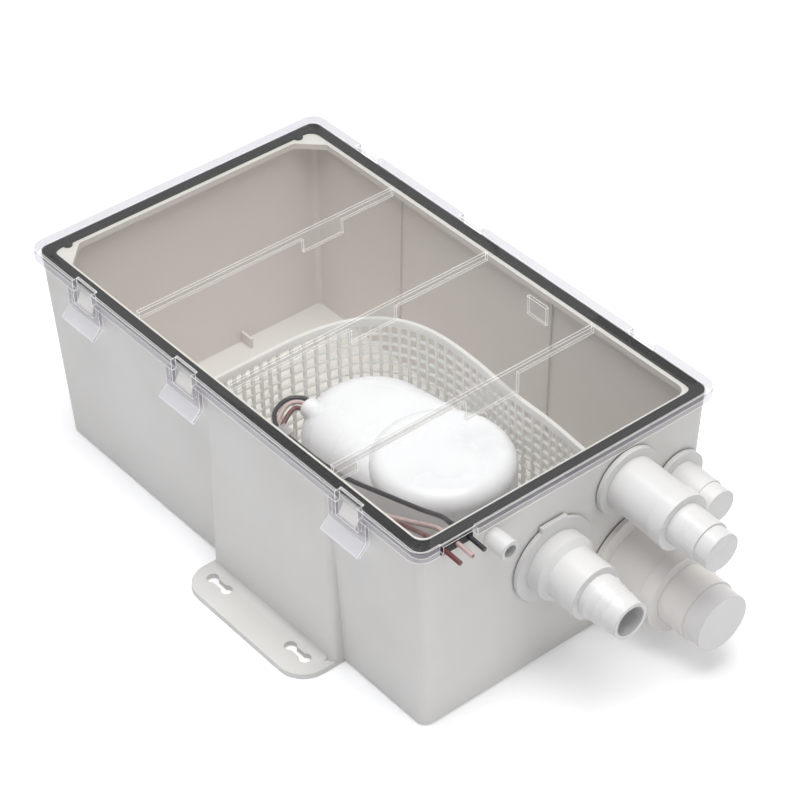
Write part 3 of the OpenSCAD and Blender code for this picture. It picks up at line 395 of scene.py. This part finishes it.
# %% Recipe for clear sheet
def clear_sheet(name, tint, end_tint, edge_mm, painted_edge_amount, haze, rib_haze=0.0, frost_heights=None):
    """Clear plastic with painted edge highlights that glow. It turns frosted between two heights, where
    these are given.
    """
    material, tree, place = start_finish(name)
    geometry = add(tree, "NewGeometry").outputs
    rounded = eased_edges(tree, edge_mm, samples=6)
    agree = add(tree, "VectorMath", {0: rounded, 1: geometry["Normal"]}, operation="DOT_PRODUCT")
    painted_edge_mask = span(tree, agree.outputs["Value"], flat_agreement, edge_agreement, 0.0, painted_edge_amount)
    at_rim = rim_share(tree, place)
    end_share = calculate(tree, "MULTIPLY", upright_share(tree, geometry["Normal"]), at_rim)
    tone = mix_colours(tree, end_share, linear(tint), linear(end_tint))
    surface = relief(tree, noise(tree, place, ripple_mm, 2.0), ripple_depth, rounded)
    wear = span(tree, noise(tree, place, scuff_mm, 5.0, 0.7), scuff_low, scuff_high, polished, scuffed)
    clear = glossy_window(tree, tone, wear, surface, geometry["Backfacing"])
    milk = frost(tree, surface)
    height = add(tree, "SeparateXYZ", {"Vector": place}).outputs["Z"]
    if frost_heights is None:
        below = span(tree, height, pane_low, pane_low - rib_blend_mm * mm, 0.0, rib_haze)
        off_rim = calculate(tree, "SUBTRACT", 1.0, at_rim)
        frosted = calculate(tree, "MULTIPLY_ADD", below, off_rim, haze)
    else:
        frosted = span(tree, height, *frost_heights, haze, frost_share)
    sheet = mix_shaders(tree, frosted, clear, milk)
    # Painted edge highlight: frosted white with a painted glow, an emission that no lamp gives.
    painted_edge_emission = add(tree, "Emission", {"Color": linear(painted_highlight_white), "Strength": painted_glow_strength})
    edge = add(tree, "AddShader", {0: milk, 1: painted_edge_emission.outputs["Emission"]}).outputs["Shader"]
    end_finish(tree, mix_shaders(tree, painted_edge_mask, sheet, edge))
    return material


# %% Clear plastics
lip_mm = 8
fade_up_mm, fade_down_mm = 3, 1
lip_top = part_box("latch_near_1")[0].z + lip_mm * mm
lip_fade = (lip_top + fade_up_mm * mm, lip_top - fade_down_mm * mm)
# After the two tints: edge radius in mm, share of painted white highlight at edges, haze.
san_lid = clear_sheet("san_clear_sheet", "fefefd", "dddce1", 0.7, 0.9, 0.012, rib_haze=0.22)
san_latch = clear_sheet(
    "san_clear_frosted_lip", "fbfbfc", "e6e5e8", 0.6, 0.75, 0.10, frost_heights=lip_fade)
nylon_strap = clear_sheet("nylon_natural_strap", "e6e2e4", "d0ccd0", 0.3, 0.3, 0.4)
print("latch lips are frosted below", round(lip_top / mm, 1), "mm")

# %% [markdown]
# The rubbers and the small technical parts inside the pump follow. The gasket is EPDM: nearly
# black, with a dull sheen and a slightly rough face. The hose is the same rubber with a coarser
# grain, from the cloth that it is cured in. The float is closed-cell foam, whose cells show as small
# pits, so its graph uses a Voronoi texture at the size of the cells. The motor can, the shaft and the
# clamps are steel: drawn, ground and rolled, each with fine lines in the direction of its making.

# %% Rubbers and nylons
# After the two colours: roughness, then the size and depth of the grain and the edge radius in mm.
epdm_gasket = moulded("epdm_gasket_black", "242426", "1d1d1f", 0.5, 0.8, 0.03, 0.3, cloud_mm=20)
epdm_hose = moulded("epdm_hose_black", "2e2e2f", "262627", 0.62, 1.2, 0.06, 0.5, cloud_mm=15)
nbr_seal = moulded("nbr_seal_brown_grey", "6f675c", "5f584e", 0.6, 0.8, 0.03, 0.2, cloud_mm=12)
silicone_flap = moulded("silicone_flap_black", "323030", "2a2929", 0.5, 0.8, 0.02, 0.3, cloud_mm=12)
nylon_impeller = moulded("nylon_impeller_dark", "3a3c40", "313338", 0.45, 0.6, 0.04, 0.3, cloud_mm=12)
nylon_nut = moulded("nylon_nut_natural", "e8e4da", "ded9cd", 0.4, 0.9, 0.02, 0.4, cloud_mm=18, glow=0.1)
print("rubbers:", [m.name for m in (epdm_gasket, epdm_hose, nbr_seal, silicone_flap)])

# %% Foam of the float
pit_low, pit_high = 0.1, 0.5
pit_depth = 0.3


def closed_cell_foam(name, skin, pit, cell_mm, roughness):
    """Cut foam: a pale skin with darker, sunken cells."""
    material, tree, place = start_finish(name)
    cells = add(tree, "TexVoronoi", {"Vector": place, "Scale": repeats(cell_mm)}, feature="F1")
    depth = span(tree, cells.outputs["Distance"], pit_low, pit_high)
    shader = add(tree, "BsdfPrincipled", {
        "Base Color": mix_colours(tree, depth, linear(pit), linear(skin)), "Roughness": roughness,
        "Normal": relief(tree, depth, pit_depth, strength=0.8)})
    end_finish(tree, shader.outputs["BSDF"])
    return material


pe_foam = closed_cell_foam("pe_foam_cream", "dccfa8", "b8a982", 1.2, 0.85)
print("foam:", pe_foam.name)

# %% Steels
steel_edge_mm = 0.2
line_depth = 0.01
smoothest, roughest = 0.8, 1.3


def lined_steel(name, colour, roughness, line_mm, stretch):
    """Bare metal with fine lines: noise squeezed along one axis, in the direction of the making."""
    material, tree, place = start_finish(name)
    squeezed = add(tree, "Mapping", {"Vector": place, "Scale": stretch}).outputs["Vector"]
    lines = noise(tree, squeezed, line_mm, 3.0)
    polish = span(tree, lines, noise_low, noise_high, roughness * smoothest, roughness * roughest)
    surface = relief(tree, lines, line_depth, eased_edges(tree, steel_edge_mm), strength=0.6)
    shader = add(tree, "BsdfPrincipled", {
        "Base Color": linear(colour), "Metallic": 1.0, "Roughness": polish, "Normal": surface})
    end_finish(tree, shader.outputs["BSDF"])
    return material


steel_can = lined_steel("steel_drawn_can", "b9babd", 0.35, 0.5, (1.0, 1.0, 0.05))
steel_shaft = lined_steel("steel_ground_shaft", "c9cacc", 0.18, 0.3, (1.0, 1.0, 0.4))
steel_clamp = lined_steel("steel_rolled_clamp", "c4c5c8", 0.28, 0.4, (0.15, 1.0, 1.0))
print("steels:", [m.name for m in (steel_can, steel_shaft, steel_clamp)])

# %% [markdown]
# The leads are stranded copper in PVC. PVC insulation is extruded, so it is smooth and slightly
# glossy, with only a faint unevenness along its length. The copper uses the recipe of the steels,
# with noise that isn't squeezed, which gives the speckle of cut strands.

# %% Lead finishes
def extruded_pvc(name, colour, shade):
    """Glossy wire insulation with a faint unevenness."""
    return moulded(name, colour, shade, 0.32, 2.5, 0.02, 0.2, cloud_mm=9)


pvc_brown = extruded_pvc("pvc_brown", "6c3835", "5d2e2c")
pvc_white = extruded_pvc("pvc_white", "c9b2ae", "b79d9a")
pvc_black = extruded_pvc("pvc_black", "2c2b33", "232229")
copper_strand = lined_steel("copper_stranded", "8f6a58", 0.35, 0.3, (1.0, 1.0, 1.0))
print("insulation:", [m.name for m in (pvc_brown, pvc_white, pvc_black)])

# %% [markdown]
# The three leads leave the pump by its gland, turn round through the strap, run beside the pump and
# rise to the grommet in the rim, where they pass outside and end cut off, as in the photograph. Their
# routes repeat the points of the CAD model. A Catmull-Rom curve passes through every point, so the
# same points give the same route, and finer steps and more sides make it smooth. Each lead is one
# mesh: a round skin, and at the cut end a ring of insulation around a core of copper.

# %% Lead routes, mm
lead_radius = 1.25
core_radius = 0.75
core_inset = 0.15
lead_sides = 20
steps_between = 6
routes = {
    "black": [
        (-11, -25, 70), (-17, -27, 71), (-21, -34, 71), (-18, -44, 70), (-8, -50, 69), (4, -50, 69),
        (30, -52, 72), (57, -55, 80), (86, -56, 90), (114, -57, 100), (133, -60, 110),
        (142, -62.5, 114), (146, -62.5, 114.5), (157, -62.5, 114.5), (167, -62.5, 114)],
    "white": [
        (-11, -28.5, 70), (-15, -30, 71), (-17.5, -35.5, 71), (-15, -44, 68), (-8, -50, 65.5),
        (4, -50, 65.5), (35, -57, 68), (75, -63, 79), (105, -64, 92), (131, -67, 107),
        (142, -69.5, 114), (146, -69.5, 114.5), (157, -69.5, 114.5), (167, -69.5, 114)],
    "brown": [
        (-11, -32, 70), (-13.5, -33.5, 70), (-14, -37, 69), (-12, -44, 65), (-8, -50, 62),
        (4, -50, 62), (35, -62, 63), (75, -68, 79), (110, -69, 96), (131, -73, 107),
        (142, -77, 114), (146, -77, 114.5), (157, -77, 114.5), (167, -77, 114)],
}
print("points on the routes:", {colour: len(points) for colour, points in routes.items()})

# %% Lead curve and mesh
def smooth_route(points):
    """Points of a Catmull-Rom curve through the route, in metres."""
    points = [Vector(p) * mm for p in points]
    curve = []
    for i in range(len(points) - 1):
        a, b = points[max(i - 1, 0)], points[i]
        c, d = points[i + 1], points[min(i + 2, len(points) - 1)]
        for k in range(steps_between):
            t = k / steps_between
            curve.append((2 * b + (c - a) * t + (2 * a - 5 * b + 4 * c - d) * t * t
                          + (3 * b - a - 3 * c + d) * t * t * t) / 2)
    return curve + [points[-1]]


def lead_mesh(name, path):
    """A closed skin round the path. Its second material is the copper core at the cut end."""
    last = len(path) - 1
    ways = [(path[min(i + 1, last)] - path[max(i - 1, 0)]).normalized() for i in range(len(path))]
    side = Vector((0, 0, 1))
    layers = []
    for centre, way in zip(path, ways):
        side = (side - way * side.dot(way)).normalized()
        layers.append((centre, side, way.cross(side), lead_radius))
    end, across, beside = layers[-1][:3]
    layers.append((end, across, beside, core_radius))
    layers.append((end - ways[-1] * core_inset * mm, across, beside, core_radius))
    corners = []
    for centre, u, v, radius in layers:
        for k in range(lead_sides):
            turn = 2 * math.pi * k / lead_sides
            corners.append(centre + radius * mm * (math.cos(turn) * u + math.sin(turn) * v))
    faces = []
    for low in range(0, len(corners) - lead_sides, lead_sides):
        high = low + lead_sides
        for k in range(lead_sides):
            j = (k + 1) % lead_sides
            faces.append((low + k, low + j, high + j, high + k))
    faces.append(tuple(reversed(range(lead_sides))))
    faces.append(tuple(range(len(corners) - lead_sides, len(corners))))
    mesh = bpy.data.meshes.new(name)
    mesh.from_pydata([tuple(p) for p in corners], [], faces)
    for polygon in mesh.polygons:
        polygon.use_smooth = polygon.index < last * lead_sides
    mesh.polygons[-1].material_index = 1
    mesh.validate()
    return mesh


# %% Leads
for colour, finish in (("black", pvc_black), ("white", pvc_white), ("brown", pvc_brown)):
    path = smooth_route(routes[colour])
    mesh = lead_mesh("wire_" + colour, path)
    mesh.materials.append(finish)
    mesh.materials.append(copper_strand)
    wire = put_in_scene("wire_" + colour, mesh)
    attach(wire, "sump")
    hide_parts("lead_" + colour)
    length = sum((b - a).length for a, b in zip(path, path[1:]))
    print("wire", colour, "is", round(length / mm), "mm long")

# %% [markdown]
# Two moulded pieces are made here in a finer form than the CAD solids have. The screen in the
# photograph is a close lattice with thin bars. In the CAD model each hole is cut from a solid, which
# limits their number, but a mesh only needs a grid of cells: stations run along the curved route,
# levels run up it, and a face is left out wherever a hole is. Route, ends and height are those of the
# CAD model, so the lattice stays in its guides. The route is four Bezier curves between five knots:
# straight across the tub, round an S-shaped bend, and on to the end wall in two gentle stretches.

# %% Route of the screen, mm
half_length, half_width = 150.4, 86.65
start_x, start_y, end_x = -26.5, -83.75, 147.5
screen_knots = [
    Vector((start_x, start_y)),
    Vector((start_x, -0.3924 * half_width)),
    Vector((0.2094 * half_length, 0.4005 * half_width)),
    Vector((0.6316 * half_length, 0.3624 * half_width)),
    Vector((end_x, 0.3289 * half_width))]
start_knot, bend_knot, lane_knot, middle_knot, end_knot = screen_knots
along_x, along_y = Vector((1, 0)), Vector((0, 1))
bend_share = 0.7
bend_out = bend_share * (lane_knot.y - bend_knot.y) * along_y
bend_in = bend_share * (lane_knot.x - bend_knot.x) * along_x
lane_out, middle_in, middle_out, end_in = (
    share * half_length * along_x for share in (0.2, 0.2, 0.166, 0.133))
stretches = [
    (start_knot, start_knot.lerp(bend_knot, 1 / 3), start_knot.lerp(bend_knot, 2 / 3), bend_knot),
    (bend_knot, bend_knot + bend_out, lane_knot - bend_in, lane_knot),
    (lane_knot, lane_knot + lane_out, middle_knot - middle_in, middle_knot),
    (middle_knot, middle_knot + middle_out, end_knot - end_in, end_knot)]
print("knots of the screen:", [tuple(round(v, 1) for v in knot) for knot in screen_knots])

# %% Holes of the screen, mm
columns = (9, 17, 12, 10)
rows = 15
bar_w, bar_h = 1.6, 1.1
sheet_t = 1.6
bead_t, bead_h, bead_slope = 2.2, 3.0, 0.4
foot_band, head_band = 4.5, 4.8
screen_low, screen_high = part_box("screen")
print("screen holes:", rows * sum(columns))


def bezier(a, b, c, d, t):
    """Point of a cubic Bezier curve, and the sideways direction there."""
    u = 1 - t
    point = u ** 3 * a + 3 * t * u * u * b + 3 * t * t * u * c + t ** 3 * d
    way = (3 * u * u * (b - a) + 6 * t * u * (c - b) + 3 * t * t * (d - c)).normalized()
    return point, Vector((-way.y, way.x))


def screen_stations():
    """Places along the route, each with its sideways direction, and True where a hole follows it."""
    stations = []
    for curve, count in zip(stretches, columns):
        for k in range(count):
            length = (bezier(*curve, (k + 1) / count)[0] - bezier(*curve, k / count)[0]).length
            bar = bar_w / 2 / length
            for share, opens in ((0, False), (bar, True), (0.5, True), (1 - bar, False)):
                stations.append((*bezier(*curve, (k + share) / count), opens))
    return stations + [(*bezier(*stretches[-1], 1), False)]


def screen_levels():
    """Heights with half the sheet's thickness there, and True where a hole starts."""
    low, top = screen_low.z / mm, screen_high.z / mm
    pitch = (top - low - foot_band - head_band + bar_h) / rows
    levels = [(low, sheet_t / 2, False)]
    for row in range(rows):
        start = low + foot_band + row * pitch
        levels += [(start, sheet_t / 2, True), (start + pitch - bar_h, sheet_t / 2, False)]
    bead_low = top - bead_h
    return levels + [
        (bead_low, sheet_t / 2, False),
        (bead_low + bead_slope, bead_t / 2, False),
        (top, bead_t / 2, False)]


# %% Lattice of the screen
def lattice(stations, levels):
    """Points and faces of a closed sheet with its holes left open."""
    points = [
        (point + side * half * beside).to_3d() * mm + Vector((0, 0, z * mm))
        for side in (1, -1) for point, beside, _ in stations for z, half, _ in levels]
    tall, wide = len(levels), len(stations)
    # Two corners of a cell for each of its sides, and the step to the cell beyond that side.
    sides = ((0, 1, 0, -1), (1, 2, 1, 0), (2, 3, 0, 1), (3, 0, -1, 0))

    def corner(side, i, j):
        return (side * wide + i) * tall + j

    def solid(i, j):
        inside = 0 <= i < wide - 1 and 0 <= j < tall - 1
        return inside and not (stations[i][2] and levels[j][2])

    faces = []
    for i in range(wide - 1):
        for j in range(tall - 1):
            if not solid(i, j):
                continue
            ring = [(i, j), (i + 1, j), (i + 1, j + 1), (i, j + 1)]
            faces.append([corner(0, *p) for p in reversed(ring)])
            faces.append([corner(1, *p) for p in ring])
            for a, b, step_i, step_j in sides:
                if not solid(i + step_i, j + step_j):
                    outline = ((0, ring[a]), (0, ring[b]), (1, ring[b]), (1, ring[a]))
                    faces.append([corner(side, *p) for side, p in outline])
    return points, faces


def add_piece(name, mesh, finish, node):
    """Put a mesh in the scene in place of a CAD node of the body called sump."""
    mesh.materials.append(finish)
    piece = put_in_scene(name, mesh)
    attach(piece, "sump")
    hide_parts(node)
    print(name, "has", len(mesh.polygons), "faces")


points, faces = lattice(screen_stations(), screen_levels())
mesh = bpy.data.meshes.new("screen_lattice")
mesh.from_pydata(points, [], faces)
add_piece("screen_lattice", mesh, pp_screen, "screen")

# %% [markdown]
# The pump's casing is one fair form in the photograph: two round drums under one skin, with the
# shoulders full up to the motor's cap. A convex hull of the two drums' outlines gives that skin, and a
# second hull a wall's thickness inside it keeps the casing hollow for the float and the motor. The
# gland, the volute, the outlet duct and the riser are plain rods with eased ends, which start and end
# where they do in the CAD model.

# %% Casing of the pump, mm
pump_y = -8.85
motor_x, dome_x, riser_x = 73.0, 18.0, 124
pump_r = 37.0
casing_low = 24.0
casing_wall = 1.5
crease_angle = math.radians(32)
drum_sides, rod_sides, arc_steps = 96, 48, 12
motor_top, motor_crown, motor_round = 82.0, 1.0, 9.0
dome_top, dome_crown, dome_round = 80.0, 2.0, 20.0
foot_z, duct_z, volute_top = 8, 16.5, 25
riser_in_hose = 10
riser_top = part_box("outlet_hose")[0].z / mm + riser_in_hose
rod_ease = 0.8
# Start, end and radius of each rod.
casing_rods = {
    "gland": ((-10.6, -28.5, 70), (3.4, -28.5, 70), 5.5),
    "volute": ((motor_x, pump_y, foot_z), (motor_x, pump_y, volute_top), 26.0),
    "duct": ((motor_x, pump_y, duct_z), (riser_x, pump_y, duct_z), 7.2),
    "riser": ((riser_x, pump_y, foot_z), (riser_x, pump_y, riser_top), 9.0),
}
print("rods of the casing:", list(casing_rods))

# %% Drums, rods and hulls
def drum(centre_x, top, crown, round_r, inset):
    """Points on a drum's skin, whose top is rounded and slightly crowned."""
    edge = pump_r - round_r
    bend = round_r - inset
    outline = [(pump_r - inset, casing_low + inset)]
    for k in range(arc_steps + 1):
        turn = math.pi / 2 * k / arc_steps
        outline.append((edge + bend * math.cos(turn), top - crown - round_r + bend * math.sin(turn)))
    ring = [2 * math.pi * k / drum_sides for k in range(drum_sides)]
    skin = [(centre_x + r * math.cos(a), pump_y + r * math.sin(a), z) for r, z in outline for a in ring]
    return [Vector(p) * mm for p in skin + [(centre_x, pump_y, top - inset)]]


def rod(start, end, radius):
    """Points on a rod with eased ends."""
    start, end = Vector(start), Vector(end)
    way = (end - start).normalized()
    across = way.orthogonal().normalized()
    other = way.cross(across)
    out = []
    for centre, r in ((start, radius - rod_ease), (start + rod_ease * way, radius),
                      (end - rod_ease * way, radius), (end, radius - rod_ease)):
        for k in range(rod_sides):
            turn = 2 * math.pi * k / rod_sides
            out.append((centre + r * (math.cos(turn) * across + math.sin(turn) * other)) * mm)
    return out


def add_hull(form, points, inward=False):
    """Add the convex hull of the points to a bmesh, turned inside out for an inner wall."""
    corners = [form.verts.new(p) for p in points]
    made = bmesh.ops.convex_hull(form, input=corners)
    left_over = made["geom_interior"] + made["geom_unused"]
    spare = {g for g in left_over if isinstance(g, bmesh.types.BMVert)}
    faces = [g for g in made["geom"] if isinstance(g, bmesh.types.BMFace)]
    bmesh.ops.recalc_face_normals(form, faces=faces)
    if inward:
        bmesh.ops.reverse_faces(form, faces=faces)
    bmesh.ops.delete(form, geom=list(spare), context="VERTS")


# %% Pump casing
form = bmesh.new()
for inset, inward in ((0.0, False), (casing_wall, True)):
    dome = drum(dome_x, dome_top, dome_crown, dome_round, inset)
    motor = drum(motor_x, motor_top, motor_crown, motor_round, inset)
    add_hull(form, dome + motor, inward)
for start, end, radius in casing_rods.values():
    add_hull(form, rod(start, end, radius))
mesh = bpy.data.meshes.new("pump_casing")
form.to_mesh(mesh)
form.free()
mesh.shade_smooth()
mesh.set_sharp_from_angle(angle=crease_angle)
add_piece("pump_casing", mesh, abs_pump, "pump_body")

# %% [markdown]
# Every CAD node now gets its finish. The model's curved faces arrive with smooth normals of their
# own, so the meshes need no work here and keep exactly the shape of the CAD model. The CAD leads have
# no line of their own, because the swept leads stand in for them.

# %% Give each node its finish
finishes = {
    "tub": abs_etched, "lid": san_lid, "gasket": epdm_gasket, "screen": pp_screen,
    "strainer_base": abs_pump, "pump_body": abs_pump, "motor_cap": abs_pump,
    "motor_can": steel_can, "motor_shaft": steel_shaft, "impeller": nylon_impeller,
    "shaft_seal": nbr_seal, "pump_float": pe_foam, "outlet_hose": epdm_hose, "hose_clamps": steel_clamp,
    "discharge_fitting": abs_smooth, "discharge_seal": nbr_seal, "discharge_nut": nylon_nut,
    "check_flap": silicone_flap, "inlet_a": abs_smooth, "inlet_b": abs_smooth, "inlet_c": abs_banded,
    "inlet_a_seal": nbr_seal, "inlet_b_seal": nbr_seal, "inlet_c_seal": nbr_seal,
    "vent_nipple": abs_smooth, "lead_grommet": epdm_gasket, "lead_strap": nylon_strap,
}
for name, node in cad_nodes.items():
    finish = san_latch if name.startswith("latch_") else finishes.get(name, pvc_black)
    node.data.materials.clear()
    node.data.materials.append(finish)
print(len(finishes), "nodes have a finish of their own")

# %% [markdown]
# The set is plain: a pale floor that the part stands on, a surrounding, and soft light. The floor
# fades to pure white far from the part, so it has no horizon. The surrounding is pure white to the
# camera, also through clear plastic, but grey in reflections and as a fill, which is a little dimmer
# and cooler from the near side. A broad lamp overhead does most of the work, as a softbox does. The
# lamps are kept low enough that white plastic stays below pure white, so its shape still shows.

# %% Floor
white = linear("ffffff")
floor_reach = 6.0
floor_drop = 0.0002
floor_lift = 0.22
fade_start, fade_end = 0.35, 1.3
floor_corners = [
    (x * floor_reach, y * floor_reach, -floor_drop) for x, y in ((-1, -1), (1, -1), (1, 1), (-1, 1))]
floor_mesh = bpy.data.meshes.new("floor")
floor_mesh.from_pydata(floor_corners, [], [(0, 1, 2, 3)])
floor = put_in_scene("floor", floor_mesh)
floor_finish, tree, place = start_finish("floor_white_paper")
seen = add(tree, "LightPath").outputs["Is Camera Ray"]
paper = add(tree, "BsdfDiffuse", {"Color": linear("f2f2f2")}).outputs["BSDF"]
lift = add(tree, "Emission", {"Color": white, "Strength": floor_lift}).outputs["Emission"]
lifted = add(tree, "AddShader", {0: paper, 1: lift}).outputs["Shader"]
away = add(tree, "VectorMath", {0: place}, operation="LENGTH").outputs["Value"]
far = add(tree, "Emission", {"Color": white, "Strength": 1.0}).outputs["Emission"]
faded = mix_shaders(tree, span(tree, away, fade_start, fade_end), lifted, far)
end_finish(tree, mix_shaders(tree, seen, paper, faded))
floor_mesh.materials.append(floor_finish)
print("the floor fades to white from", fade_start, "to", fade_end, "m")

# %% World
fill_strength = 0.41
mirrored_strength = 0.6
near_tone = (0.81, 0.83, 0.94, 1.0)
near_from, near_to = 0.3, -0.6
world = bpy.data.worlds.new("studio")
bpy.context.scene.world = world
world.use_nodes = True
tree = world.node_tree
tree.nodes.clear()
ray = add(tree, "LightPath").outputs
seen = calculate(tree, "MAXIMUM", ray["Is Camera Ray"], ray["Is Transmission Ray"])
mirrored = span(tree, ray["Is Glossy Ray"], 0.0, 1.0, fill_strength, mirrored_strength)
strength = calculate(tree, "MAXIMUM", seen, mirrored)
direction = add(tree, "TexCoord").outputs["Generated"]
toward_y = add(tree, "SeparateXYZ", {"Vector": direction}).outputs["Y"]
fill = mix_colours(tree, span(tree, toward_y, near_from, near_to), white, near_tone)
tone = mix_colours(tree, seen, fill, white)
studio = add(tree, "Background", {"Color": tone, "Strength": strength})
add(tree, "OutputWorld", {"Surface": studio.outputs["Background"]})
print("fill is", fill_strength, "of white")

# %% Lamps
lamp_aim = Vector((0.0, 0.0, 0.05))


def softbox(name, place, size, watts):
    """A square area lamp that faces the part."""
    lamp = bpy.data.lights.new(name, "AREA")
    lamp.shape = "SQUARE"
    lamp.size = size
    lamp.energy = watts
    holder = put_in_scene(name, lamp)
    holder.location = place
    holder.rotation_mode = "QUATERNION"
    holder.rotation_quaternion = (lamp_aim - Vector(place)).to_track_quat("-Z", "Y")


softbox("overhead_softbox", (0.1, -0.1, 1.6), 1.2, 24.5)
softbox("right_softbox", (1.5, 0.2, 0.9), 1.0, 2.5)

# %% [markdown]
# The picture has to show colours as they are written, so the view transform is Standard.

# %% Finish
bpy.context.scene.view_settings.view_transform = "Standard"
